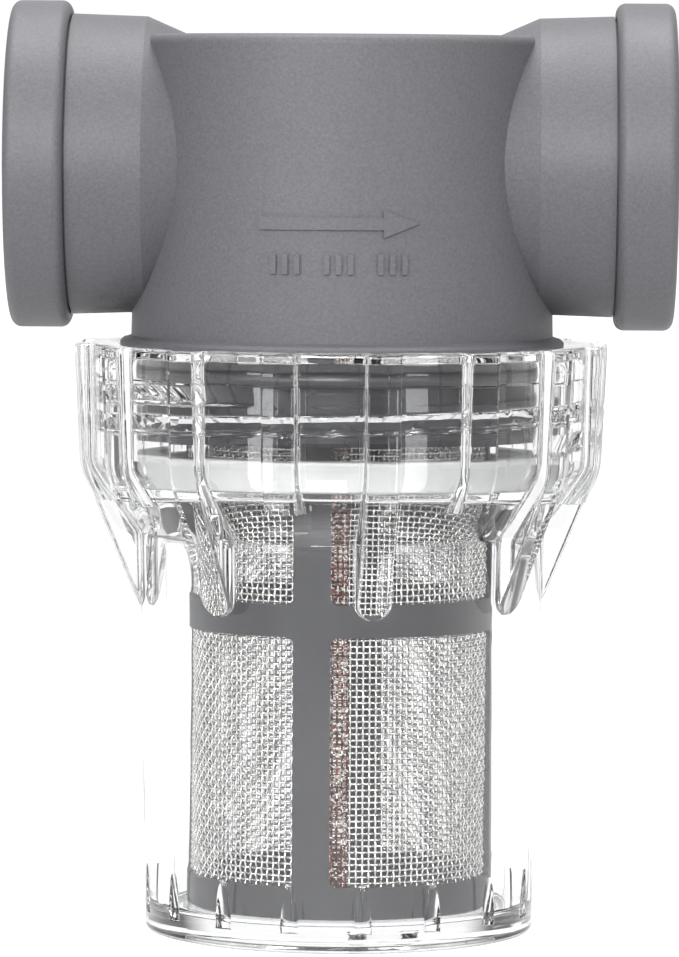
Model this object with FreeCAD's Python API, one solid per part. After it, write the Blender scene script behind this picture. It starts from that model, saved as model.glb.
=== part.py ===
import FreeCAD, Part
import math
import os

os.makedirs("parts", exist_ok=True)

# Inline water filter, in mm. +Z up, origin at the centre of the bowl's foot, ports along X,
# water flows from -X to +X, and -Y is the front, where the flow arrow is.

# Pipe ports: 1/2-inch parallel pipe thread, and the reinforcing ring pressed on each end.
PORT_Z = 79.15
PORT_END_X = 33.9
PORT_MOUTH_R = 11.1
PORT_MAJOR_R = 10.4775
PORT_MINOR_R = 9.5
PORT_PITCH = 1.8143
PORT_THREAD_LENGTH = 10.5
PORT_LAND_SHARE = 0.2
PORT_PILOT_R = 9.3155
PORT_PILOT_LENGTH = 5.0
WATERWAY_R = 8.4
COLLAR_END_X = 34.1
COLLAR_START_X = 28.05
COLLAR_R = 16.85
COLLAR_SEAT_R = 15.0
COLLAR_FILLET = 1.0
NECK_SHOULDER_X = 27.85
NECK_OUTER_R = 15.5
NECK_INNER_R = 15.25
NECK_START_X = 20.2
CONE_END_X = 10.0
CONE_END_R = 10.8

# Barrel of the head.
BARREL_BOTTOM_Z = 61.6
BARREL_BOTTOM_R = 21.8
BARREL_TOP_Z = 92.55
BARREL_TOP_R = 21.2
BARREL_TOP_FILLET = 1.0
FLANGE_R = 22.95
FLANGE_TOP_Z = 61.3
FLANGE_EDGE_Z = 60.7
WEDGE_BOTTOM_Z = 59.5
FLANGE_CHAMFER = 0.3

# Spigot below the barrel, with its O-ring groove and male thread.
SPIGOT_R = 21.85
SPIGOT_ROOT_R = 20.4
SPIGOT_END_Z = 51.35
SPIGOT_CHAMFER = 0.5
GROOVE_CENTRE_Z = 58.0
GROOVE_HALF_WIDTH = 0.9
GROOVE_FLOOR_R = 20.5
THREAD_TOP_Z = 57.1
O_RING_CENTRE_R = 21.3
O_RING_SECTION_R = 0.75

# Thread between head and bowl: single start, right-hand, buttress. Each profile is four heights
# above the point where the ridge crosses the front: lower root, lower crest, upper crest, upper root.
BOWL_PITCH = 3.0
MALE_PROFILE = (-1.85, -0.2, 0.3, 0.4)
MALE_FRONT_Z = 52.0
MALE_START_Z = 51.0
MALE_END_Z = 56.4
FEMALE_PROFILE = (-0.2, 0.0, 0.25, 1.85)
FEMALE_FRONT_Z = 52.75
FEMALE_START_Z = 50.25
FEMALE_END_Z = 55.5
FEMALE_CREST_R = 20.8

# Water ways inside the head.
CHAMBER_R = 18.2
CHAMBER_TOP_Z = 89.4
TUBE_OUTER_R = 13.9
TUBE_INNER_R = 11.9
TUBE_END_Z = 52.8
DUCT_R = 10.6
TUBE_END_CHAMFER = 0.4

# Raised flow arrow and the row of plain bars under it.
MARK_HEIGHT = 0.3
ARROW_Z = 73.6
ARROW_LENGTH = 16.0
ARROW_SHAFT_HEIGHT = 1.23
ARROW_HEAD_HEIGHT = 2.8
ARROW_HEAD_LENGTH = 3.5
BARS_Z = 69.55
BAR_HEIGHT = 2.0
BAR_WIDTH = 0.55
BAR_CENTRES = (-6.6, -5.4, -4.2, -1.2, 0.0, 1.2, 4.2, 5.4, 6.6)

# Bowl.
RIM_Z = 60.85
RIM_R = 26.1
SHOULDER_TOP_Z = 48.4
SHOULDER_TOP_R = 25.8
SHOULDER_BOTTOM_Z = 41.4
SHOULDER_BOTTOM_R = 21.0
WALL_BOTTOM_R = 20.1
FOOT_CORNER = 0.5
FOOT_INNER_R = 16.5
FOOT_RECESS = 0.5
FLOOR_Z = 2.5
FLOOR_R = 16.9
FLOOR_FILLET = 0.8
INNER_TOP_R = 18.4
INNER_TOP_Z = 40.5
LEDGE_Z = 47.3
BORE_R = 22.2
SEAL_BORE_R = 22.35
SEAL_BORE_Z = 57.4
MOUTH_START_Z = 59.7
MOUTH_R = 23.5
RIM_EDGE = 0.25

# Bowl ribs, counted in degrees from the front towards +X.
RIB_COUNT = 8
RIB_WIDTH = 3.5
RIB_RIM_R = 27.7
RIB_KNEE_Z = 48.9
RIB_KNEE_R = 27.1
RIB_BEND_Z = 45.7
RIB_BEND_R = 26.0
RIB_SWELL_Z = 47.3
RIB_SWELL_R = 26.8
RIB_ROOT_R = 19.5
LONG_RIB_FIRST = 10.0
LONG_RIB_TIP_Z = 33.8
SHORT_RIB_FIRST = -12.5
SHORT_RIB_END_Z = 44.7
RIB_EDGE = 0.35

# Flutes round the bowl's foot.
FLUTE_COUNT = 17
FLUTE_FIRST = 7.9
FLUTE_R = 0.95
FLUTE_BOTTOM_Z = 2.0
FLUTE_TOP_Z = 7.0
FLUTE_DEPTH = 0.85
FLUTE_RUN_OUT = 0.1

# Gasket on the bowl's ledge.
GASKET_INNER_R = 18.6
GASKET_OUTER_R = 22.0
GASKET_BOTTOM_Z = 47.35
GASKET_TOP_Z = 49.9
GASKET_EDGE = 0.35

# Screen: a moulded cage with a woven sleeve set in it.
CAGE_OUTER_R = 15.8
CAGE_INNER_R = 14.2
CAGE_BOTTOM_Z = 2.7
CAGE_DISC_TOP_Z = 4.2
CAGE_BOTTOM_RING_Z = 6.3
CAGE_MID_RING = (31.7, 35.0)
CAGE_TOP_RING_Z = 52.0
CAGE_TOP_Z = 60.0
CAGE_SOCKET_R = 13.95
CAGE_EDGE = 0.3
WINDOW_CORNER_R = 0.8
POST_WIDTH = 3.65
POST_FIRST = -9.1
POST_COUNT = 4
SLEEVE_INNER_R = 15.0
SLEEVE_OUTER_R = 15.3
SLEEVE_BOTTOM_Z = 5.1
SLEEVE_TOP_Z = 53.2

# How far a raised shape is sunk into the wall it stands on, how far a cutter reaches past what it
# cuts, and how close two measurements of an edge have to be to count as the same.
EMBED = 0.3
OVERCUT = 1.0
SAME_LENGTH = 0.01

ORIGIN = FreeCAD.Vector(0, 0, 0)
UP = FreeCAD.Vector(0, 0, 1)
ALONG_X = FreeCAD.Vector(1, 0, 0)
ALONG_Y = FreeCAD.Vector(0, 1, 0)
TO_FRONT = FreeCAD.Vector(0, -1, 0)
FRONT_ANGLE = -90.0
QUARTER_TURN = 90.0
FULL_TURN = 360.0


def revolved(points):
    """A solid turned about the Z axis from (radius, z) points."""
    outline = [FreeCAD.Vector(r, 0, z) for r, z in points]
    face = Part.Face(Part.makePolygon(outline + outline[:1]))
    return face.revolve(ORIGIN, UP, FULL_TURN)


def tube(outer_r, inner_r, bottom_z, top_z):
    return revolved([(inner_r, bottom_z), (outer_r, bottom_z), (outer_r, top_z), (inner_r, top_z)])


def turned(shape, degrees):
    """A copy of a shape made at the front, turned from there towards +X."""
    copy = shape.copy()
    copy.rotate(ORIGIN, UP, degrees)
    return copy


def arc_points(centre_r, centre_z, radius, start, end, steps=10):
    """Points on an arc in the (radius, z) plane, from one angle to another in degrees."""
    points = []
    for i in range(steps + 1):
        angle = math.radians(start + (end - start) * i / steps)
        points.append((centre_r + radius * math.cos(angle), centre_z + radius * math.sin(angle)))
    return points


def rounded(shape, edges, radius):
    return shape.makeFillet(radius, edges) if edges else shape


def circles_at(shape, radius):
    """The full circular edges of a shape that have this radius."""
    found = []
    for edge in shape.Edges:
        if edge.Curve.TypeId == "Part::GeomCircle" and abs(edge.Curve.Radius - radius) < SAME_LENGTH:
            found.append(edge)
    return found


def helical_ridge(base_r, crest_r, profile, pitch, start_z, end_z, start_angle):
    """A ridge that winds right-handed about the Z axis, its section given as four heights."""
    base_low, crest_low, crest_high, base_high = profile
    corners = [
        FreeCAD.Vector(base_r, 0, base_low),
        FreeCAD.Vector(crest_r, 0, crest_low),
        FreeCAD.Vector(crest_r, 0, crest_high),
        FreeCAD.Vector(base_r, 0, base_high),
    ]
    section = Part.makePolygon(corners + corners[:1])
    path = Part.Wire(Part.makeHelix(pitch, end_z - start_z, base_r))
    ridge = path.makePipeShell([section], True, True)
    ridge.rotate(ORIGIN, UP, start_angle)
    ridge.translate(FreeCAD.Vector(0, 0, start_z))
    return ridge


def angle_of(height, front_z, pitch):
    """The angle at which a right-hand thread that crosses the front at front_z is at a height."""
    return FRONT_ANGLE + FULL_TURN * (height - front_z) / pitch


def barrel_radius(height):
    share = (height - BARREL_BOTTOM_Z) / (BARREL_TOP_Z - BARREL_BOTTOM_Z)
    return BARREL_BOTTOM_R + (BARREL_TOP_R - BARREL_BOTTOM_R) * share


def head_outside():
    """Barrel, flange and spigot as one turned solid."""
    corner_r = BARREL_TOP_R - BARREL_TOP_FILLET
    corner_z = BARREL_TOP_Z - BARREL_TOP_FILLET
    lip_z = GROOVE_CENTRE_Z + GROOVE_HALF_WIDTH
    points = [
        (0, SPIGOT_END_Z),
        (SPIGOT_ROOT_R - SPIGOT_CHAMFER, SPIGOT_END_Z),
        (SPIGOT_ROOT_R, SPIGOT_END_Z + SPIGOT_CHAMFER),
        (SPIGOT_ROOT_R, THREAD_TOP_Z),
        (GROOVE_FLOOR_R, THREAD_TOP_Z),
        (GROOVE_FLOOR_R, lip_z),
        (SPIGOT_R, lip_z),
        (SPIGOT_R, WEDGE_BOTTOM_Z),
        (FLANGE_R, FLANGE_EDGE_Z),
        (FLANGE_R, FLANGE_TOP_Z - FLANGE_CHAMFER),
        (FLANGE_R - FLANGE_CHAMFER, FLANGE_TOP_Z),
        (BARREL_BOTTOM_R, BARREL_BOTTOM_Z),
    ]
    points += arc_points(corner_r, corner_z, BARREL_TOP_FILLET, 0, QUARTER_TURN)
    points.append((0, BARREL_TOP_Z))
    return revolved(points)


def turned_about_port(outline, side):
    """A solid turned about the port axis from (x, radius) points, on the side of +X or -X."""
    corners = [FreeCAD.Vector(side * x, 0, PORT_Z + r) for x, r in outline]
    face = Part.Face(Part.makePolygon(corners + corners[:1]))
    return face.revolve(UP * PORT_Z, ALONG_X, FULL_TURN)


def neck(side):
    """The cone, neck and ring seat of one port, on the side of +X or -X."""
    outline = [
        (CONE_END_X, 0),
        (CONE_END_X, CONE_END_R),
        (NECK_START_X, NECK_INNER_R),
        (NECK_SHOULDER_X, NECK_OUTER_R),
        (NECK_SHOULDER_X, COLLAR_SEAT_R),
        (PORT_END_X, COLLAR_SEAT_R),
        (PORT_END_X, 0),
    ]
    return turned_about_port(outline, side)


def port_bore(side, inner_x):
    """A port's inside: mouth chamfer, thread's minor bore, plain pilot bore, then the water way."""
    mouth_x = PORT_END_X - (PORT_MOUTH_R - PORT_MINOR_R)
    thread_x = PORT_END_X - PORT_THREAD_LENGTH
    pilot_x = thread_x - PORT_PILOT_LENGTH
    outline = [
        (inner_x, 0),
        (inner_x, WATERWAY_R),
        (pilot_x, WATERWAY_R),
        (pilot_x, PORT_PILOT_R),
        (thread_x, PORT_PILOT_R),
        (thread_x, PORT_MINOR_R),
        (mouth_x, PORT_MINOR_R),
        (PORT_END_X, PORT_MOUTH_R),
        (PORT_END_X, 0),
    ]
    return turned_about_port(outline, side)


def port_thread(side):
    """The groove of the female pipe thread, cut from the mouth inwards."""
    half_root = (PORT_PITCH * (1 - PORT_LAND_SHARE) + EMBED) / 2
    half_crest = PORT_PITCH * PORT_LAND_SHARE / 2
    groove = helical_ridge(
        PORT_MINOR_R - EMBED,
        PORT_MAJOR_R,
        (-half_root, -half_crest, half_crest, half_root),
        PORT_PITCH,
        PORT_END_X - PORT_THREAD_LENGTH,
        PORT_END_X + PORT_PITCH,
        0,
    )
    groove.rotate(ORIGIN, ALONG_Y, side * QUARTER_TURN)
    groove.translate(UP * PORT_Z)
    return groove


def male_thread():
    phase = angle_of(MALE_START_Z, MALE_FRONT_Z, BOWL_PITCH)
    return helical_ridge(
        SPIGOT_ROOT_R - EMBED,
        SPIGOT_R,
        MALE_PROFILE,
        BOWL_PITCH,
        MALE_START_Z,
        MALE_END_Z,
        phase,
    )


def female_thread():
    phase = angle_of(FEMALE_START_Z, FEMALE_FRONT_Z, BOWL_PITCH)
    return helical_ridge(
        BORE_R + EMBED,
        FEMALE_CREST_R,
        FEMALE_PROFILE,
        BOWL_PITCH,
        FEMALE_START_Z,
        FEMALE_END_Z,
        phase,
    )


def arrow_outline():
    """The flow arrow's corners as (x, z), pointing to +X."""
    left = -ARROW_LENGTH / 2
    tip = ARROW_LENGTH / 2
    neck_x = tip - ARROW_HEAD_LENGTH
    shaft = ARROW_SHAFT_HEIGHT / 2
    head = ARROW_HEAD_HEIGHT / 2
    return [
        (left, ARROW_Z - shaft),
        (neck_x, ARROW_Z - shaft),
        (neck_x, ARROW_Z - head),
        (tip, ARROW_Z),
        (neck_x, ARROW_Z + head),
        (neck_x, ARROW_Z + shaft),
        (left, ARROW_Z + shaft),
    ]


def bar_outline(centre_x):
    half = BAR_WIDTH / 2
    low = BARS_Z - BAR_HEIGHT / 2
    high = BARS_Z + BAR_HEIGHT / 2
    return [(centre_x - half, low), (centre_x + half, low), (centre_x + half, high), (centre_x - half, high)]


def raised_marks():
    """The arrow and the bars, raised from the front of the barrel by the mark height."""
    reach = 2 * BARREL_BOTTOM_R
    skin = revolved([
        (barrel_radius(BARREL_BOTTOM_Z) - EMBED, BARREL_BOTTOM_Z),
        (barrel_radius(BARREL_BOTTOM_Z) + MARK_HEIGHT, BARREL_BOTTOM_Z),
        (barrel_radius(BARREL_TOP_Z) + MARK_HEIGHT, BARREL_TOP_Z),
        (barrel_radius(BARREL_TOP_Z) - EMBED, BARREL_TOP_Z),
    ])
    marks = []
    for outline in [arrow_outline()] + [bar_outline(x) for x in BAR_CENTRES]:
        corners = [FreeCAD.Vector(x, 0, z) for x, z in outline]
        face = Part.Face(Part.makePolygon(corners + corners[:1]))
        marks.append(face.extrude(TO_FRONT * reach).common(skin))
    return marks


def water_ways():
    """The open end and inlet chamber round the centre tube, and the way from the tube to the outlet."""
    chamber = revolved([
        (0, SPIGOT_END_Z),
        (CHAMBER_R, SPIGOT_END_Z),
        (CHAMBER_R, CHAMBER_TOP_Z),
        (TUBE_OUTER_R, CHAMBER_TOP_Z),
        (TUBE_OUTER_R, TUBE_END_Z + TUBE_END_CHAMFER),
        (TUBE_OUTER_R - TUBE_END_CHAMFER, TUBE_END_Z),
        (0, TUBE_END_Z),
    ])
    duct = Part.makeCylinder(DUCT_R, CHAMBER_R + OVERCUT, UP * PORT_Z, ALONG_X)
    chamber = chamber.cut(duct)
    tube_solid = Part.makeCylinder(TUBE_OUTER_R, BARREL_TOP_Z)
    inlet = port_bore(-1, CONE_END_X).cut(tube_solid)
    outlet = port_bore(1, 0)
    rise = Part.makeCylinder(TUBE_INNER_R, CHAMBER_TOP_Z - TUBE_END_Z, UP * TUBE_END_Z)
    return [chamber, inlet, outlet, rise]


def make_head():
    head = head_outside()
    for side in (-1, 1):
        head = head.fuse(neck(side))
    below = tube(FLANGE_R, TUBE_INNER_R, SPIGOT_END_Z - BOWL_PITCH, SPIGOT_END_Z)
    head = head.fuse(male_thread().cut(below))
    for mark in raised_marks():
        head = head.fuse(mark)
    for way in water_ways():
        head = head.cut(way)
    for side in (-1, 1):
        head = head.cut(port_thread(side))
    return head


def make_collar(side):
    ring = Part.makeCylinder(COLLAR_R, COLLAR_END_X - COLLAR_START_X)
    ring = rounded(ring, circles_at(ring, COLLAR_R), COLLAR_FILLET)
    ring = ring.cut(Part.makeCylinder(COLLAR_SEAT_R, COLLAR_END_X))
    ring.translate(UP * COLLAR_START_X)
    ring.rotate(ORIGIN, ALONG_Y, side * QUARTER_TURN)
    ring.translate(UP * PORT_Z)
    return ring


def rib(end_z, rounded_tip):
    """One rib of the bowl, at the front. Its lower end is a round tongue or a square step."""
    slope = (RIB_BEND_R - SHOULDER_BOTTOM_R) / (RIB_BEND_Z - LONG_RIB_TIP_Z)
    end_r = RIB_BEND_R - slope * (RIB_BEND_Z - end_z)
    outline = [
        (RIB_ROOT_R, end_z),
        (end_r, end_z),
        (RIB_BEND_R, RIB_BEND_Z),
        (RIB_SWELL_R, RIB_SWELL_Z),
        (RIB_KNEE_R, RIB_KNEE_Z),
        (RIB_RIM_R, RIM_Z),
        (RIB_ROOT_R, RIM_Z),
    ]
    corners = [FreeCAD.Vector(-RIB_WIDTH / 2, -r, z) for r, z in outline]
    face = Part.Face(Part.makePolygon(corners + corners[:1]))
    blade = face.extrude(FreeCAD.Vector(RIB_WIDTH, 0, 0))
    long_edges = [e for e in blade.Edges if is_outer_rib_edge(e)]
    blade = rounded(blade, long_edges, RIB_EDGE)
    if rounded_tip:
        half = RIB_WIDTH / 2
        tip_z = end_z + half
        tip = Part.makeCylinder(half, RIB_RIM_R, UP * tip_z, TO_FRONT)
        column = Part.makeBox(RIB_WIDTH, RIB_RIM_R, RIM_Z - tip_z, FreeCAD.Vector(-half, -RIB_RIM_R, tip_z))
        blade = blade.common(tip.fuse(column))
    return blade


def is_outer_rib_edge(edge):
    """True for an edge that runs down one side of a rib's outer face."""
    first, last = [v.Point for v in edge.Vertexes]
    on_side = abs(first.x - last.x) < SAME_LENGTH
    is_outer = min(-first.y, -last.y) > RIB_ROOT_R + SAME_LENGTH
    rises = abs(first.z - last.z) > RIB_EDGE
    return on_side and is_outer and rises


def flute():
    """The cutter of one flute at the front: a round groove that runs out upwards."""
    axis_r = WALL_BOTTOM_R + FLUTE_R
    foot = FreeCAD.Vector(0, FLUTE_DEPTH - axis_r, FLUTE_BOTTOM_Z)
    head = FreeCAD.Vector(0, -FLUTE_RUN_OUT - axis_r, FLUTE_TOP_Z)
    lean = head - foot
    reach = lean / lean.Length * OVERCUT
    cutter = Part.makeCylinder(FLUTE_R, lean.Length + 2 * OVERCUT, foot - reach, lean)
    half = FLUTE_R + OVERCUT
    corner = FreeCAD.Vector(-half, -axis_r - half, FLUTE_BOTTOM_Z)
    keep = Part.makeBox(2 * half, 2 * half, lean.Length, corner)
    return cutter.common(keep)


def bowl_outside():
    points = [(0, FOOT_RECESS), (FOOT_INNER_R - FOOT_RECESS, FOOT_RECESS), (FOOT_INNER_R, 0)]
    points += arc_points(WALL_BOTTOM_R - FOOT_CORNER, FOOT_CORNER, FOOT_CORNER, -QUARTER_TURN, 0)
    points += [
        (SHOULDER_BOTTOM_R, SHOULDER_BOTTOM_Z),
        (SHOULDER_TOP_R, SHOULDER_TOP_Z),
        (RIM_R, RIM_Z - RIM_EDGE),
        (RIM_R - RIM_EDGE, RIM_Z),
        (0, RIM_Z),
    ]
    return revolved(points)


def bowl_inside():
    points = [(0, FLOOR_Z)]
    points += arc_points(FLOOR_R, FLOOR_Z + FLOOR_FILLET, FLOOR_FILLET, -QUARTER_TURN, 0)
    points += [
        (INNER_TOP_R, INNER_TOP_Z),
        (INNER_TOP_R, LEDGE_Z),
        (BORE_R, LEDGE_Z),
        (BORE_R, SEAL_BORE_Z),
        (SEAL_BORE_R, SEAL_BORE_Z + SEAL_BORE_R - BORE_R),
        (SEAL_BORE_R, MOUTH_START_Z),
        (MOUTH_R, RIM_Z),
        (0, RIM_Z),
    ]
    return revolved(points)


def make_bowl():
    bowl = bowl_outside()
    step = FULL_TURN / RIB_COUNT
    long_rib = rib(LONG_RIB_TIP_Z, True)
    short_rib = rib(SHORT_RIB_END_Z, False)
    for i in range(RIB_COUNT):
        bowl = bowl.fuse(turned(long_rib, LONG_RIB_FIRST + i * step))
        bowl = bowl.fuse(turned(short_rib, SHORT_RIB_FIRST + i * step))
    for i in range(FLUTE_COUNT):
        bowl = bowl.cut(turned(flute(), FLUTE_FIRST + i * FULL_TURN / FLUTE_COUNT))
    bowl = bowl.cut(bowl_inside())
    return bowl.fuse(female_thread())


def make_o_ring():
    return Part.makeTorus(O_RING_CENTRE_R, O_RING_SECTION_R, UP * GROOVE_CENTRE_Z)


def make_gasket():
    ring = tube(GASKET_OUTER_R, GASKET_INNER_R, GASKET_BOTTOM_Z, GASKET_TOP_Z)
    edges = circles_at(ring, GASKET_OUTER_R) + circles_at(ring, GASKET_INNER_R)
    return rounded(ring, edges, GASKET_EDGE)


def window(low, high):
    """The cutter of one opening between two posts, with rounded corners, at the front's right."""
    inner = CAGE_INNER_R - OVERCUT
    outer = CAGE_OUTER_R + OVERCUT
    half_post = math.degrees(math.asin(POST_WIDTH / 2 / CAGE_OUTER_R))
    span = FULL_TURN / POST_COUNT - 2 * half_post
    corners = [(inner, low), (outer, low), (outer, high), (inner, high)]
    outline = [FreeCAD.Vector(r, 0, z) for r, z in corners]
    face = Part.Face(Part.makePolygon(outline + outline[:1]))
    sector = face.revolve(ORIGIN, UP, span)
    radial = [e for e in sector.Edges if runs_radially(e, outer - inner)]
    sector = rounded(sector, radial, WINDOW_CORNER_R)
    return turned(sector, FRONT_ANGLE + POST_FIRST + half_post)


def runs_radially(edge, length):
    """True for a straight level edge of this length."""
    first, last = [v.Point for v in edge.Vertexes]
    return abs(first.z - last.z) < SAME_LENGTH and abs(edge.Length - length) < SAME_LENGTH


def make_cage():
    wall = revolved([
        (0, CAGE_BOTTOM_Z),
        (CAGE_OUTER_R - CAGE_EDGE, CAGE_BOTTOM_Z),
        (CAGE_OUTER_R, CAGE_BOTTOM_Z + CAGE_EDGE),
        (CAGE_OUTER_R, CAGE_TOP_Z - CAGE_EDGE),
        (CAGE_OUTER_R - CAGE_EDGE, CAGE_TOP_Z),
        (CAGE_SOCKET_R + CAGE_EDGE, CAGE_TOP_Z),
        (CAGE_SOCKET_R, CAGE_TOP_Z - CAGE_EDGE),
        (CAGE_SOCKET_R, CAGE_TOP_RING_Z + CAGE_EDGE),
        (CAGE_INNER_R, CAGE_TOP_RING_Z),
        (CAGE_INNER_R, CAGE_DISC_TOP_Z),
        (0, CAGE_DISC_TOP_Z),
    ])
    rows = [(CAGE_BOTTOM_RING_Z, CAGE_MID_RING[0]), (CAGE_MID_RING[1], CAGE_TOP_RING_Z)]
    for low, high in rows:
        cutter = window(low, high)
        for i in range(POST_COUNT):
            wall = wall.cut(turned(cutter, i * FULL_TURN / POST_COUNT))
    return wall.cut(make_sleeve())


def make_sleeve():
    return tube(SLEEVE_OUTER_R, SLEEVE_INNER_R, SLEEVE_BOTTOM_Z, SLEEVE_TOP_Z)


def export(shape, node):
    solids = shape.Solids
    if len(solids) != 1 or not shape.isValid():
        raise ValueError(f"{node}: {len(solids)} solids, valid {shape.isValid()}")
    solids[0].exportStep(f"parts/{node}.step")


export(make_head(), "head_body")
export(make_collar(-1), "inlet_collar")
export(make_collar(1), "outlet_collar")
export(make_o_ring(), "bowl_o_ring")
export(make_bowl(), "bowl")
export(make_gasket(), "bowl_gasket")
export(make_cage(), "screen_cage")
export(make_sleeve(), "screen_mesh")
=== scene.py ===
import math

import bpy
import numpy as np
from mathutils import Matrix, Vector


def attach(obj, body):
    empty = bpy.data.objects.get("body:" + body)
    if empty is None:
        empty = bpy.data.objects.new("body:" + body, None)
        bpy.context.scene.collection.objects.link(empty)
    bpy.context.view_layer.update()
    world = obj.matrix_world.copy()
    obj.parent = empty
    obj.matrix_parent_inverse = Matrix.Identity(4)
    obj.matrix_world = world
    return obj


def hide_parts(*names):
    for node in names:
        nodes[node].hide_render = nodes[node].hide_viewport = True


MM = 0.001
TAU = 2.0 * math.pi

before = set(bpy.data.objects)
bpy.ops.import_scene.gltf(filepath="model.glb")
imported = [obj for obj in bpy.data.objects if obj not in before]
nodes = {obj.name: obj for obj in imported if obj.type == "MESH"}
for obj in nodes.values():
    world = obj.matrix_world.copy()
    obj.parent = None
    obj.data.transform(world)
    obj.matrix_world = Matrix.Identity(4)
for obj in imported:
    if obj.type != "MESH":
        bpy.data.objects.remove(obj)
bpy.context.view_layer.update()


# ---------------------------------------------------------------- node helpers

def new_material(name):
    mat = bpy.data.materials.new(name)
    mat.use_nodes = True
    tree = mat.node_tree
    tree.nodes.clear()
    out = tree.nodes.new("ShaderNodeOutputMaterial")
    return mat, tree, out


def ramp(tree, source, stops, interpolation="LINEAR"):
    node = tree.nodes.new("ShaderNodeValToRGB")
    node.color_ramp.interpolation = interpolation
    elements = node.color_ramp.elements
    while len(elements) > 1:
        elements.remove(elements[-1])
    elements[0].position = stops[0][0]
    elements[0].color = (*stops[0][1], 1.0)
    for position, colour in stops[1:]:
        e = elements.new(position)
        e.color = (*colour, 1.0)
    tree.links.new(source, node.inputs["Fac"])
    return node


def noise(tree, coords, scale, detail=2.0, roughness=0.5):
    node = tree.nodes.new("ShaderNodeTexNoise")
    node.inputs["Scale"].default_value = scale
    node.inputs["Detail"].default_value = detail
    node.inputs["Roughness"].default_value = roughness
    tree.links.new(coords, node.inputs["Vector"])
    return node


def map_range(tree, source, low, high, to_low, to_high):
    node = tree.nodes.new("ShaderNodeMapRange")
    node.inputs["From Min"].default_value = low
    node.inputs["From Max"].default_value = high
    node.inputs["To Min"].default_value = to_low
    node.inputs["To Max"].default_value = to_high
    tree.links.new(source, node.inputs["Value"])
    return node


def bump(tree, height, strength, distance, before=None):
    node = tree.nodes.new("ShaderNodeBump")
    node.inputs["Strength"].default_value = strength
    node.inputs["Distance"].default_value = distance
    tree.links.new(height, node.inputs["Height"])
    if before is not None:
        tree.links.new(before.outputs["Normal"], node.inputs["Normal"])
    return node


# Painted shade: the grey head plastic below a height (the spigot inside the bowl) is coloured nearly black
# to stand in for shade there, with lower roughness.
SPIGOT_SHADE_DARK = (0.006, 0.006, 0.008)
SPIGOT_SHADE_LIGHT = (0.012, 0.012, 0.015)
SPIGOT_SHADE_ROUGH = 0.24
SPIGOT_SHADE_BLUR = 0.0002


def moulded_plastic(name, dark, light, rough, grain_scale, grain_depth, shade_below=None):
    """Matte moulded plastic with a fine grain. Below the given height it carries painted shade: nearly
    black, and glossier.
    """
    mat, tree, out = new_material(name)
    coords = tree.nodes.new("ShaderNodeTexCoord").outputs["Object"]
    grain = noise(tree, coords, grain_scale, 3.0, 0.65)
    cloud = noise(tree, coords, 90.0, 2.0, 0.5)
    colour = ramp(tree, grain.outputs["Fac"], [(0.3, dark), (0.7, light)]).outputs["Color"]
    shader = tree.nodes.new("ShaderNodeBsdfPrincipled")
    uneven = map_range(tree, cloud.outputs["Fac"], 0.3, 0.7, rough - 0.05, rough + 0.06)
    if shade_below is not None:
        # Painted shade below the given height: a near-black colour is mixed in by height.
        split = tree.nodes.new("ShaderNodeSeparateXYZ")
        tree.links.new(coords, split.inputs["Vector"])
        share = map_range(tree, split.outputs["Z"], shade_below - SPIGOT_SHADE_BLUR, shade_below + SPIGOT_SHADE_BLUR, 0.0, 1.0)
        painted_shade = ramp(tree, grain.outputs["Fac"], [(0.3, SPIGOT_SHADE_DARK), (0.7, SPIGOT_SHADE_LIGHT)])
        mix = tree.nodes.new("ShaderNodeMix")
        mix.data_type = "RGBA"
        tree.links.new(share.outputs["Result"], mix.inputs["Factor"])
        tree.links.new(painted_shade.outputs["Color"], mix.inputs[6])
        tree.links.new(colour, mix.inputs[7])
        colour = mix.outputs[2]
        least = map_range(tree, share.outputs["Result"], 0.0, 1.0, SPIGOT_SHADE_ROUGH, rough - 0.05)
        most = map_range(tree, share.outputs["Result"], 0.0, 1.0, SPIGOT_SHADE_ROUGH + 0.06, rough + 0.06)
        tree.links.new(least.outputs["Result"], uneven.inputs["To Min"])
        tree.links.new(most.outputs["Result"], uneven.inputs["To Max"])
    tree.links.new(colour, shader.inputs["Base Color"])
    tree.links.new(uneven.outputs["Result"], shader.inputs["Roughness"])
    shader.inputs["IOR"].default_value = 1.49
    relief = bump(tree, grain.outputs["Fac"], 0.6, grain_depth)
    tree.links.new(relief.outputs["Normal"], shader.inputs["Normal"])
    tree.links.new(shader.outputs["BSDF"], out.inputs["Surface"])
    return mat


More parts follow.
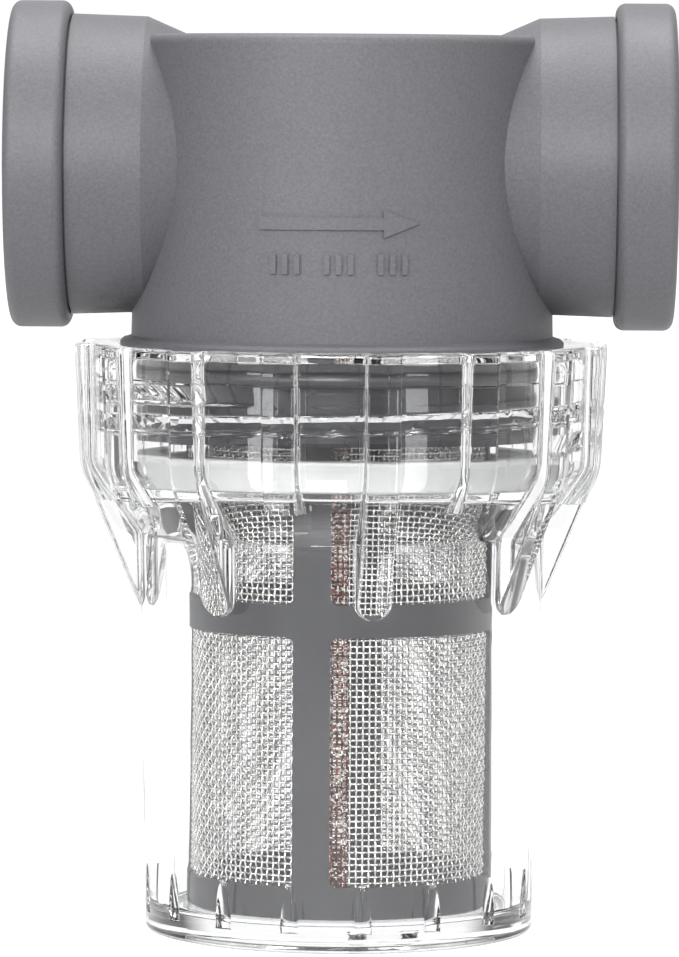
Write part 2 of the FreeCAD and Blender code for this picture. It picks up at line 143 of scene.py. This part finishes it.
def clear_plastic(name):
    """Clear polycarbonate with slight flow marks. Lamps shine straight through it."""
    mat, tree, out = new_material(name)
    coords = tree.nodes.new("ShaderNodeTexCoord").outputs["Object"]
    stretch = tree.nodes.new("ShaderNodeMapping")
    stretch.inputs["Scale"].default_value = (1.0, 1.0, 0.25)
    tree.links.new(coords, stretch.inputs["Vector"])
    flow = noise(tree, stretch.outputs["Vector"], 160.0, 2.0, 0.5)
    haze = noise(tree, coords, 420.0, 3.0, 0.6)
    shader = tree.nodes.new("ShaderNodeBsdfPrincipled")
    shader.inputs["Transmission Weight"].default_value = 1.0
    shader.inputs["IOR"].default_value = 1.585
    tint = ramp(tree, haze.outputs["Fac"], [(0.3, (0.985, 0.988, 0.99)), (0.75, (0.965, 0.972, 0.98))])
    tree.links.new(tint.outputs["Color"], shader.inputs["Base Color"])
    gloss = map_range(tree, haze.outputs["Fac"], 0.35, 0.8, 0.0, 0.035)
    tree.links.new(gloss.outputs["Result"], shader.inputs["Roughness"])
    relief = bump(tree, flow.outputs["Fac"], 0.35, 0.00012)
    tree.links.new(relief.outputs["Normal"], shader.inputs["Normal"])
    through = tree.nodes.new("ShaderNodeBsdfTransparent")
    through.inputs["Color"].default_value = (0.93, 0.935, 0.94, 1.0)
    rays = tree.nodes.new("ShaderNodeLightPath")
    mix = tree.nodes.new("ShaderNodeMixShader")
    tree.links.new(rays.outputs["Is Shadow Ray"], mix.inputs["Fac"])
    tree.links.new(shader.outputs["BSDF"], mix.inputs[1])
    tree.links.new(through.outputs["BSDF"], mix.inputs[2])
    tree.links.new(mix.outputs["Shader"], out.inputs["Surface"])
    return mat


def soft_rubber(name, dark, light, rough, milky):
    mat, tree, out = new_material(name)
    coords = tree.nodes.new("ShaderNodeTexCoord").outputs["Object"]
    mottle = noise(tree, coords, 300.0, 3.0, 0.6)
    shader = tree.nodes.new("ShaderNodeBsdfPrincipled")
    colour = ramp(tree, mottle.outputs["Fac"], [(0.3, dark), (0.7, light)])
    tree.links.new(colour.outputs["Color"], shader.inputs["Base Color"])
    uneven = map_range(tree, mottle.outputs["Fac"], 0.3, 0.7, rough - 0.04, rough + 0.05)
    tree.links.new(uneven.outputs["Result"], shader.inputs["Roughness"])
    shader.inputs["Subsurface Weight"].default_value = milky
    shader.inputs["Subsurface Radius"].default_value = (0.002, 0.002, 0.002)
    shader.inputs["Subsurface Scale"].default_value = 0.5
    relief = bump(tree, mottle.outputs["Fac"], 0.3, 0.00003)
    tree.links.new(relief.outputs["Normal"], shader.inputs["Normal"])
    tree.links.new(shader.outputs["BSDF"], out.inputs["Surface"])
    return mat


def drawn_wire(name, stops, rough, streak_scale):
    """Bright drawn stainless wire, with small differences along it."""
    mat, tree, out = new_material(name)
    coords = tree.nodes.new("ShaderNodeTexCoord").outputs["Object"]
    streak = noise(tree, coords, streak_scale, 2.0, 0.5)
    shader = tree.nodes.new("ShaderNodeBsdfPrincipled")
    shader.inputs["Metallic"].default_value = 1.0
    colour = ramp(tree, streak.outputs["Fac"], stops)
    tree.links.new(colour.outputs["Color"], shader.inputs["Base Color"])
    uneven = map_range(tree, streak.outputs["Fac"], 0.3, 0.7, rough - 0.06, rough + 0.08)
    tree.links.new(uneven.outputs["Result"], shader.inputs["Roughness"])
    tree.links.new(shader.outputs["BSDF"], out.inputs["Surface"])
    return mat


# ---------------------------------------------------------------- mesh helpers

def mesh_object(name, verts, faces, mat, caps=()):
    """A smooth mesh from points (n, 3) in millimetres, quads (m, 4) and some many-sided caps."""
    verts = np.asarray(verts, float) * MM
    caps = [np.asarray(cap, np.int32) for cap in caps]
    corners = np.concatenate([np.asarray(faces, np.int32).ravel(), *caps])
    sizes = np.concatenate([np.full(len(faces), 4)] + [[len(c)] for c in caps]).astype(np.int32)
    mesh = bpy.data.meshes.new(name)
    mesh.vertices.add(len(verts))
    mesh.vertices.foreach_set("co", verts.astype(np.float32).ravel())
    mesh.loops.add(len(corners))
    mesh.loops.foreach_set("vertex_index", corners)
    mesh.polygons.add(len(sizes))
    mesh.polygons.foreach_set("loop_start", (np.cumsum(sizes) - sizes).astype(np.int32))
    mesh.update(calc_edges=True)
    mesh.polygons.foreach_set("use_smooth", np.ones(len(sizes), bool))
    mesh.validate()
    mesh.materials.append(mat)
    ob = bpy.data.objects.new(name, mesh)
    bpy.context.scene.collection.objects.link(ob)
    return ob


def grid_faces(rows, cols, first=0, wrap=True, flip=False):
    """Quads of a grid of rows x cols points, closed round the columns if wrap."""
    i = np.arange(rows - 1)[:, None]
    j = np.arange(cols if wrap else cols - 1)[None, :]
    k = (j + 1) % cols
    a = i * cols + j
    b = i * cols + k
    c = (i + 1) * cols + k
    d = (i + 1) * cols + j
    quads = np.stack([a, b, c, d], -1).reshape(-1, 4) + first
    return quads[:, ::-1] if flip else quads


def wires(paths, side, radius, sides, closed):
    """Round wires along many paths (n, points, 3); side is each path point's sideways direction."""
    if closed:
        ahead = np.roll(paths, -1, 1) - np.roll(paths, 1, 1)
    else:
        ahead = np.gradient(paths, axis=1)
    ahead /= np.linalg.norm(ahead, axis=2, keepdims=True)
    normal = np.cross(side, ahead)
    normal /= np.linalg.norm(normal, axis=2, keepdims=True)
    turn = np.arange(sides) * TAU / sides
    ring = (
        paths[:, :, None, :]
        + radius * np.cos(turn)[None, None, :, None] * normal[:, :, None, :]
        + radius * np.sin(turn)[None, None, :, None] * side[:, :, None, :]
    )
    count, points = paths.shape[:2]
    verts = ring.reshape(-1, 3)
    faces = []
    i = np.arange(points if closed else points - 1)[:, None]
    nxt = (i + 1) % points
    s = np.arange(sides)[None, :]
    t = (s + 1) % sides
    one = np.stack([i * sides + s, i * sides + t, nxt * sides + t, nxt * sides + s], -1).reshape(-1, 4)
    for w in range(count):
        faces.append(one + w * points * sides)
    return verts, np.concatenate(faces)


def smooth(x):
    x = np.clip(x, 0.0, 1.0)
    return x * x * (3.0 - 2.0 * x)


# ---------------------------------------------------------------- clear bowl, in millimetres

# Heights and radii of the plain outside wall, then of the ribs' outer faces.
BOWL_WALL = np.array([[0.5, 20.1], [41.0, 20.99], [41.4, 21.05], [41.9, 21.35], [47.9, 25.5],
                      [48.4, 25.75], [48.9, 25.84], [60.6, 26.1]])
RIB_LINE = np.array([[30.3, 19.5], [33.8, 21.0], [45.2, 25.79], [45.8, 26.05], [46.5, 26.42],
                     [47.3, 26.78], [48.1, 27.0], [48.9, 27.12], [60.85, 27.7]])

# Long and short ribs by turns. A rib's columns lie across its face, its rounded edge and its root.
RIBS = 16
RIB_FIRST = 10.0
RIB_HALF = 1.75
RIB_EDGE = 0.35
RIB_EDGE_SHARE = 0.55
RIB_ROOT = 0.28
RIB_ROOT_SHARE = 0.4
RIB_FOOT = 1.76
RIB_ACROSS = np.array([0.0, 0.55, 1.0, 1.32, 1.45, 1.56, 1.66, 1.72, 1.75, 1.76, 1.79, 1.85, 1.94, 2.1])
RIB_GAP = 7
RIB_TIP_Z = 33.8
RIB_TIP_ROUND = 0.985
RIB_SPREAD = 2.0
RIB_STEP_Z = 44.7

# Flutes round the foot.
FLUTES = 17
FLUTE_FIRST = 7.9
FLUTE_R = 0.95
FLUTE_ACROSS = np.array([0.0, 0.15, 0.3, 0.42, 0.53, 0.62, 0.70, 0.77, 0.82, 0.86, 0.90, 0.94, 1.0, 1.25])
FLUTE_GAP = 5
FLUTE_Z = (2.0, 7.0)
FLUTE_DEPTH = 0.85
FLUTE_RUN_OUT = 0.05

# The columns follow the ribs above, the flutes below, and drift from one to the other in between.
DRIFT_TOP_Z = 26.0
DRIFT_HEIGHT = 17.0

FOOT_R = 20.1
FOOT_CORNER = 0.5
RIM_EDGE = 0.4
RIM_EDGE_Z = 60.45

# The inside, and the buttress ridge of the thread that stands in from the bore.
INNER_BOTTOM_R = 17.7
INNER_BOTTOM_Z = 3.4
INNER_TOP_R = 18.4
INNER_TOP_Z = 40.5
BORE_R = 22.2
RIDGE_PITCH = 3.0
RIDGE_FRONT_Z = 52.75
RIDGE_ENDS_Z = (50.2, 55.6)
RIDGE_FADE = 0.35
RIDGE_HEIGHT = 1.4
RIDGE_TOP = 1.87
RIDGE_SLOPE = 1.6
RIDGE_BOTTOM = 0.2
RIDGE_UNDERCUT = 0.17
RIDGE_ZONE = (49.8, 57.42)
SHARP_ANGLE = math.radians(38.0)


def ring_angles(count, first, halves, gap):
    """Angles of a ring's columns: each feature's own, then evenly across the gap to the next one."""
    step = 360.0 / count
    sectors = []
    for k in range(count):
        half = halves[k]
        between = np.linspace(half[-1], step - halves[(k + 1) % count][-1], gap + 2)[1:-1]
        sectors.append(first + k * step + np.concatenate([-half[:0:-1], half, between]))
    return np.concatenate(sectors)


def rib_size(k, z, height):
    """How wide the columns of rib k are spread, as a share, and how far it stands out, at one height."""
    if k % 2 == 1:
        return 1.0, height if z >= RIB_STEP_Z else 0.0
    rise = min(max(RIB_TIP_Z + RIB_HALF - z, 0.0), RIB_HALF * RIB_TIP_ROUND)
    width = math.sqrt(RIB_HALF**2 - rise**2) / RIB_HALF
    if z < RIB_TIP_Z:
        return width + (1.0 - width) * min((RIB_TIP_Z - z) / RIB_SPREAD, 1.0), 0.0
    return width, height


def rib_row(z, wall):
    """Radii and angles of the outside's points at one height, following the 16 ribs."""
    line = float(np.interp(z, RIB_LINE[:, 0], RIB_LINE[:, 1]))
    radii, halves = [], []
    for k in range(RIBS):
        width, height = rib_size(k, z, max(line - wall, 0.0))
        edge = min(RIB_EDGE, RIB_EDGE_SHARE * height)
        root = min(RIB_ROOT, RIB_ROOT_SHARE * height)
        inset = np.clip((RIB_ACROSS - (RIB_HALF - RIB_EDGE)) / RIB_EDGE, 0.0, 1.0)
        outset = np.clip((RIB_ACROSS - RIB_FOOT) / (RIB_ACROSS[-1] - RIB_FOOT), 0.0, 1.0)
        face = wall + height - edge * (1.0 - np.sqrt(1.0 - inset**2))
        side = wall + root * (1.0 - np.sqrt(1.0 - (1.0 - outset) ** 2))
        across = RIB_ACROSS * width
        on_face = RIB_ACROSS <= RIB_HALF
        r = np.where(on_face, np.hypot(face, across) if height > 0.0 else face, side)
        halves.append(np.degrees(np.arcsin(across / r)))
        radii.append(np.concatenate([r[:0:-1], r, np.full(RIB_GAP, wall)]))
    return np.concatenate(radii), ring_angles(RIBS, RIB_FIRST, halves, RIB_GAP)


def outer_row(z, wall):
    """Ribs above and flutes below, on the same columns."""
    radii, angles = rib_row(z, wall)
    low = float(smooth((DRIFT_TOP_Z - z) / DRIFT_HEIGHT))
    flute_half = np.degrees(np.arcsin(FLUTE_ACROSS / wall))
    flute_angles = ring_angles(FLUTES, FLUTE_FIRST, [flute_half] * FLUTES, FLUTE_GAP)
    angles = angles * (1.0 - low) + flute_angles * low
    if FLUTE_Z[0] <= z <= FLUTE_Z[1]:
        step = 360.0 / FLUTES
        off = (angles - FLUTE_FIRST + step / 2) % step - step / 2
        across = np.sin(np.radians(off)) * wall
        depth = FLUTE_RUN_OUT + FLUTE_DEPTH * (FLUTE_Z[1] - z) / (FLUTE_Z[1] - FLUTE_Z[0])
        groove = wall + FLUTE_R - depth - np.sqrt(np.maximum(FLUTE_R**2 - across**2, 0.0))
        radii = np.where(np.abs(across) < FLUTE_R, np.minimum(radii, groove), radii)
    return radii, angles


def bowl_outside():
    """Rows of (radii, angles, height) up the outside, from the middle of the foot to the rim."""
    rows = []
    foot = [(0.02, 0.5), (8.0, 0.5), (15.8, 0.5), (15.95, 0.48)]
    foot += [(16.1, 0.38), (16.3, 0.1), (16.42, 0.02), (16.6, 0.0)]
    for t in np.radians(np.arange(0, 91, 15)):
        reach = FOOT_R - FOOT_CORNER + FOOT_CORNER * math.sin(t)
        foot.append((reach, FOOT_CORNER - FOOT_CORNER * math.cos(t)))
    for r, z in foot:
        radii, angles = outer_row(1.0, FOOT_R)
        rows.append((r * radii / FOOT_R, angles, z))
    heights = [1.2, 1.99, 2.01] + list(np.arange(2.2, 7.0, 0.25)) + [7.0, 7.02]
    heights += [7.6, 9.0, 11.0, 13.5, 16.5, 19.5, 22.5, 25.5, 28.5, 30.5, 31.8, 32.6, 33.2, 33.6, 33.79]
    heights += list(np.arange(33.8, 35.7, 0.12)) + list(np.arange(35.9, 40.6, 0.8))
    heights += [40.9, 41.2, 41.4, 41.6, 41.9, 42.6, 43.4, 44.1, 44.5, 44.69, 44.71, 44.76, 44.85, 45.0]
    heights += list(np.arange(45.2, 49.6, 0.25)) + list(np.arange(50.5, 60.3, 1.0)) + [60.35]
    for z in heights:
        wall = float(np.interp(z, BOWL_WALL[:, 0], BOWL_WALL[:, 1]))
        rows.append((*outer_row(z, wall), z))
    top_r, top_a, _ = rows[-1]
    for t in np.radians(np.arange(15, 91, 15)):
        rows.append((top_r - RIM_EDGE * (1 - math.cos(t)), top_a, RIM_EDGE_Z + RIM_EDGE * math.sin(t)))
    return rows


def thread_height(angle, z):
    """How far the ridge stands in from the bore, at angles in degrees from the front."""
    best = np.zeros(len(angle))
    for turn in (-1, 0, 1):
        crest = RIDGE_FRONT_Z + RIDGE_PITCH * (angle % 360.0) / 360.0 + RIDGE_PITCH * turn
        starts = smooth((crest - RIDGE_ENDS_Z[0]) / RIDGE_FADE)
        stops = smooth((RIDGE_ENDS_Z[1] - crest) / RIDGE_FADE)
        above = np.clip((RIDGE_TOP - (z - crest)) / RIDGE_SLOPE, 0.0, 1.0)
        below = np.clip((z - crest + RIDGE_BOTTOM) / RIDGE_UNDERCUT, 0.0, 1.0)
        best = np.maximum(best, RIDGE_HEIGHT * (starts * stops) * np.minimum(above, below))
    return best


def bowl_inside(angles):
    """Rows down the inside, from the rim to the middle of the floor."""
    profile = [(0.02, 2.5), (8.0, 2.5), (16.5, 2.5), (16.9, 2.52), (17.25, 2.62), (17.5, 2.82)]
    profile += [(17.65, 3.1), (INNER_BOTTOM_R, INNER_BOTTOM_Z)]
    for z in (5.5, 10.5, 16.5, 22.5, 28.5, 34.5, 38.5, 40.5):
        share = (z - INNER_BOTTOM_Z) / (INNER_TOP_Z - INNER_BOTTOM_Z)
        profile.append((INNER_BOTTOM_R + (INNER_TOP_R - INNER_BOTTOM_R) * share, z))
    profile += [(INNER_TOP_R, 42.5), (INNER_TOP_R, 45.0), (INNER_TOP_R, 46.8), (18.45, 47.1), (18.6, 47.25)]
    profile += [(18.8, 47.3), (20.4, 47.3), (21.9, 47.3), (22.1, 47.33), (22.18, 47.45)]
    profile += [(BORE_R, z) for z in (47.7, 48.6, 49.6)]
    profile += [(BORE_R, z) for z in np.arange(49.9, 57.4, 0.085)]
    profile += [(22.21, 57.43), (22.34, 57.55), (22.35, 57.6), (22.35, 58.7), (22.35, 59.6), (22.4, 59.7)]
    profile += [(22.5, 59.8), (23.2, 60.5), (23.45, 60.72), (23.65, 60.82), (23.9, 60.85), (25.0, 60.85)]
    rows = []
    for r, z in reversed(profile):
        ring = np.full(len(angles), r)
        if RIDGE_ZONE[0] < z < RIDGE_ZONE[1]:
            ring = ring - thread_height(angles, z)
        rows.append((ring, angles, z))
    return rows


def make_bowl(mat):
    rows = bowl_outside()
    rows += bowl_inside(rows[-1][1])
    points = []
    for radii, angles, z in rows:
        a = np.radians(angles)
        points.append(np.stack([radii * np.sin(a), -radii * np.cos(a), np.full(len(a), z)], -1))
    cols = len(rows[0][1])
    first = np.arange(cols)[::-1]
    last = (len(rows) - 1) * cols + np.arange(cols)
    ob = mesh_object("bowl_clear", np.concatenate(points), grid_faces(len(rows), cols), mat, [first, last])
    ob.data.set_sharp_from_angle(angle=SHARP_ANGLE)
    return ob


# ---------------------------------------------------------------- woven screen

WEAVE_R = 15.15
WARPS = 150
WEFTS = 76
WEAVE_PITCH = TAU * WEAVE_R / WARPS
WEAVE_BOTTOM = 5.4
WIRE_R = 0.125
WIRE_SIDES = 5
WIRE_SWING = 1.02
STEPS_A_CELL = 2

# The lap at the seam: a second, finer layer outside the first.
LAP_ANGLES = (-7.0, 3.6)
LAP_WARPS = 7
LAP_R = WEAVE_R + 0.36
LAP_BOTTOM = WEAVE_BOTTOM + 0.3
LAP_WIRE_R = 0.1


def weave(angle_first, angle_last, count, rings, radius, bottom, closed, wire_r, phase=0):
    """Warp and weft paths of a plain weave on a cylinder, as points and sideways directions."""
    swing = wire_r * WIRE_SWING
    pitch_a = (angle_last - angle_first) / (count if closed else count - 1)
    j = np.arange((rings - 1) * STEPS_A_CELL + 1) / STEPS_A_CELL
    z = bottom + j * WEAVE_PITCH
    warps, warp_side = [], []
    for k in range(count):
        a = angle_first + k * pitch_a
        r = radius + swing * np.cos(math.pi * (j + k + phase))
        warps.append(np.stack([r * math.sin(a), -r * math.cos(a), z], -1))
        warp_side.append(np.tile([math.cos(a), math.sin(a), 0.0], (len(j), 1)))
    spots = count * STEPS_A_CELL if closed else (count - 1) * STEPS_A_CELL + 1
    i = np.arange(spots) / STEPS_A_CELL
    a = angle_first + i * pitch_a
    wefts, weft_side = [], []
    for ring in range(rings):
        r = radius - swing * np.cos(math.pi * (i + ring + phase))
        zz = np.full(len(i), bottom + ring * WEAVE_PITCH)
        wefts.append(np.stack([r * np.sin(a), -r * np.cos(a), zz], -1))
        weft_side.append(np.tile([0.0, 0.0, 1.0], (len(i), 1)))
    return np.array(warps), np.array(warp_side), np.array(wefts), np.array(weft_side)


def make_screen(steel, seam):
    warps, warp_side, wefts, weft_side = weave(0.0, TAU, WARPS, WEFTS, WEAVE_R, WEAVE_BOTTOM, True, WIRE_R)
    warp = mesh_object("screen_warp_wires", *wires(warps, warp_side, WIRE_R, WIRE_SIDES, False), steel)
    weft = mesh_object("screen_weft_wires", *wires(wefts, weft_side, WIRE_R, WIRE_SIDES, True), steel)
    first, last = np.radians(LAP_ANGLES)
    warps, warp_side, wefts, weft_side = weave(
        first, last, LAP_WARPS, WEFTS, LAP_R, LAP_BOTTOM, False, LAP_WIRE_R, 1
    )
    up_points, up_faces = wires(warps, warp_side, LAP_WIRE_R, WIRE_SIDES, False)
    round_points, round_faces = wires(wefts, weft_side, LAP_WIRE_R, WIRE_SIDES, False)
    points = np.concatenate([up_points, round_points])
    faces = np.concatenate([up_faces, round_faces + len(up_points)])
    lap = mesh_object("screen_seam_lap", points, faces, seam)
    return [warp, weft, lap]


# ---------------------------------------------------------------- materials and pieces

# Below this height the head plastic carries painted shade, nearly black.
HEAD_SHADE_BELOW = 0.0606

head_plastic = moulded_plastic(
    "head_plastic_grain", (0.083, 0.083, 0.092), (0.115, 0.115, 0.125), 0.52, 3200.0, 0.00006, HEAD_SHADE_BELOW
)
collar_plastic = moulded_plastic(
    "collar_plastic_grain", (0.088, 0.088, 0.097), (0.12, 0.12, 0.13), 0.5, 3200.0, 0.00005
)
cage_plastic = moulded_plastic(
    "cage_plastic_grain", (0.016, 0.016, 0.018), (0.023, 0.023, 0.026), 0.42, 2500.0, 0.00002
)
bowl_plastic = clear_plastic("bowl_clear_plastic")
gasket_rubber = soft_rubber("gasket_silicone_white", (0.3, 0.3, 0.297), (0.36, 0.36, 0.356), 0.45, 0.15)
ring_rubber = soft_rubber("o_ring_black", (0.008, 0.008, 0.009), (0.016, 0.016, 0.018), 0.33, 0.0)
BRIGHT_STEEL = [(0.3, (0.6, 0.59, 0.58)), (0.7, (0.9, 0.89, 0.87))]
HEAT_TINT = [
    (0.38, (0.03, 0.02, 0.018)),
    (0.48, (0.28, 0.05, 0.025)),
    (0.54, (0.1, 0.07, 0.06)),
    (0.62, (0.8, 0.76, 0.7)),
]
steel = drawn_wire("wire_bright_steel", BRIGHT_STEEL, 0.2, 900.0)
seam_steel = drawn_wire("wire_seam_heat_tint", HEAT_TINT, 0.25, 2200.0)

for name, mat, slot_name in (
    ("head_body", head_plastic, "head_plastic"),
    ("inlet_collar", collar_plastic, "collar_plastic"),
    ("outlet_collar", collar_plastic, "collar_plastic"),
    ("bowl_o_ring", ring_rubber, "o_ring_rubber"),
    ("bowl_gasket", gasket_rubber, "gasket_silicone"),
    ("screen_cage", cage_plastic, "cage_plastic"),
):
    ob = nodes[name]
    ob.data.materials.clear()
    ob.data.materials.append(mat)

bowl = make_bowl(bowl_plastic)
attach(bowl, "bowl")
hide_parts("bowl")

for ob in make_screen(steel, seam_steel):
    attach(ob, "screen")
    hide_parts("screen_mesh")


# ---------------------------------------------------------------- room, light, camera

# The floor lies just below the unscrewed bowl. It is pale, with painted light: a lighter tone and a glow
# behind the object, and painted shade (darker, hardly glowing) in front.
FLOOR_Z = -0.0072
FLOOR_REACH = 6.0
FLOOR_FADE_Y = (-0.35, -0.03)
FLOOR_PAINTED_TONE = (0.78, 0.93)
FLOOR_PAINTED_GLOW = (0.04, 0.55)

# Brightness of the room by direction, from the front (-1) to the back (1): white behind the object,
# with a dark band on each side of the white that draws the edges of the clear bowl.
WALLS = [(-1.0, 0.1), (-0.6, 0.1), (-0.3, 0.15), (0.0, 0.25), (0.3, 0.25)]
WALLS += [(0.52, 0.08), (0.72, 0.08), (0.84, 1.0), (1.0, 1.0)]
CEILING = 0.75
CEILING_FROM = (0.25, 0.7)
ROOM_STRENGTH = 1.02

LENS = 218.2
AZIMUTH = math.radians(1.0)
PITCH = math.radians(3.81)
ROLL = math.radians(0.35)
DISTANCE = 0.600
HEIGHT = 0.0867
SIDESTEP = -0.00017


def floor_painted_light():
    mat, tree, out = new_material("floor_painted_light")
    place = tree.nodes.new("ShaderNodeSeparateXYZ")
    tree.links.new(tree.nodes.new("ShaderNodeTexCoord").outputs["Object"], place.inputs["Vector"])
    # Painted light on the floor: lighter and glowing behind the object, painted shade in front.
    back = map_range(tree, place.outputs["Y"], *FLOOR_FADE_Y, 0.0, 1.0).outputs["Result"]
    shader = tree.nodes.new("ShaderNodeBsdfPrincipled")
    tone = ramp(tree, back, [(float(end), (grey, grey, grey)) for end, grey in enumerate(FLOOR_PAINTED_TONE)])
    tree.links.new(tone.outputs["Color"], shader.inputs["Base Color"])
    shader.inputs["Roughness"].default_value = 0.9
    shader.inputs["Specular IOR Level"].default_value = 0.1
    shader.inputs["Emission Color"].default_value = (1.0, 1.0, 1.0, 1.0)
    glow = map_range(tree, back, 0.0, 1.0, *FLOOR_PAINTED_GLOW)
    tree.links.new(glow.outputs["Result"], shader.inputs["Emission Strength"])
    tree.links.new(shader.outputs["BSDF"], out.inputs["Surface"])
    return mat


def make_floor():
    mesh = bpy.data.meshes.new("floor")
    corners = [(x * FLOOR_REACH, y * FLOOR_REACH, FLOOR_Z) for x, y in ((-1, -1), (1, -1), (1, 1), (-1, 1))]
    mesh.from_pydata(corners, [], [(0, 1, 2, 3)])
    mesh.materials.append(floor_painted_light())
    ob = bpy.data.objects.new("floor", mesh)
    bpy.context.scene.collection.objects.link(ob)
    return ob


def soft_lamp(name, where, aim, width, height, power):
    data = bpy.data.lights.new(name, "AREA")
    data.shape = "RECTANGLE"
    data.size = width
    data.size_y = height
    data.energy = power
    ob = bpy.data.objects.new(name, data)
    bpy.context.scene.collection.objects.link(ob)
    ob.location = where
    ob.rotation_euler = (Vector(where) - Vector(aim)).to_track_quat("Z", "Y").to_euler()
    return ob


def make_lamps(floor):
    """Four soft lamps. They leave the floor alone, because the clear bowl would mirror it."""
    skipped = bpy.data.collections.new("lamps_skip_floor")
    skipped.objects.link(floor)
    skipped.collection_objects[0].light_linking.link_state = "EXCLUDE"
    for lamp in (
        soft_lamp("lamp_left", (-0.56, -0.71, 0.36), (0, 0, 0.3), 0.26, 0.75, 3.6),
        soft_lamp("lamp_right", (0.54, -0.72, 0.36), (0, 0, 0.3), 0.24, 0.75, 2.6),
        soft_lamp("lamp_front", (-0.12, -1.0, 0.42), (0, 0, 0.05), 0.4, 0.3, 8.0),
        soft_lamp("lamp_top", (0.0, 0.1, 0.9), (0, 0, 0.05), 0.9, 0.7, 9.0),
    ):
        lamp.light_linking.receiver_collection = skipped


def make_room():
    world = bpy.data.worlds.new("studio")
    bpy.context.scene.world = world
    world.use_nodes = True
    tree = world.node_tree
    tree.nodes.clear()
    split = tree.nodes.new("ShaderNodeSeparateXYZ")
    tree.links.new(tree.nodes.new("ShaderNodeTexCoord").outputs["Generated"], split.inputs["Vector"])
    toward = map_range(tree, split.outputs["Y"], -1.0, 1.0, 0.0, 1.0)
    walls = ramp(tree, toward.outputs["Result"], [((y + 1.0) / 2.0, (g, g, g)) for y, g in WALLS])
    above = map_range(tree, split.outputs["Z"], *CEILING_FROM, 0.0, 1.0)
    mix = tree.nodes.new("ShaderNodeMix")
    mix.data_type = "RGBA"
    tree.links.new(above.outputs["Result"], mix.inputs["Factor"])
    tree.links.new(walls.outputs["Color"], mix.inputs[6])
    mix.inputs[7].default_value = (CEILING, CEILING, CEILING, 1.0)
    room = tree.nodes.new("ShaderNodeBackground")
    room.inputs["Strength"].default_value = ROOM_STRENGTH
    tree.links.new(mix.outputs[2], room.inputs["Color"])
    out = tree.nodes.new("ShaderNodeOutputWorld")
    tree.links.new(room.outputs["Background"], out.inputs["Surface"])


def make_camera():
    data = bpy.data.cameras.new("camera")
    data.lens = LENS
    data.sensor_width = 36.0
    data.clip_start = 0.01
    camera = bpy.data.objects.new("camera", data)
    bpy.context.scene.collection.objects.link(camera)
    where = (DISTANCE * math.sin(AZIMUTH) + SIDESTEP, -DISTANCE * math.cos(AZIMUTH), HEIGHT)
    camera.matrix_world = (
        Matrix.Translation(where)
        @ Matrix.Rotation(AZIMUTH, 4, "Z")
        @ Matrix.Rotation(math.pi / 2 - PITCH, 4, "X")
        @ Matrix.Rotation(ROLL, 4, "Z")
    )
    return camera


make_lamps(make_floor())
make_room()
bpy.context.scene.camera = make_camera()

scene = bpy.context.scene
scene.view_settings.view_transform = "Standard"
scene.cycles.max_bounces = 24
scene.cycles.transmission_bounces = 20
scene.cycles.glossy_bounces = 8
scene.cycles.transparent_max_bounces = 24
scene.cycles.diffuse_bounces = 4
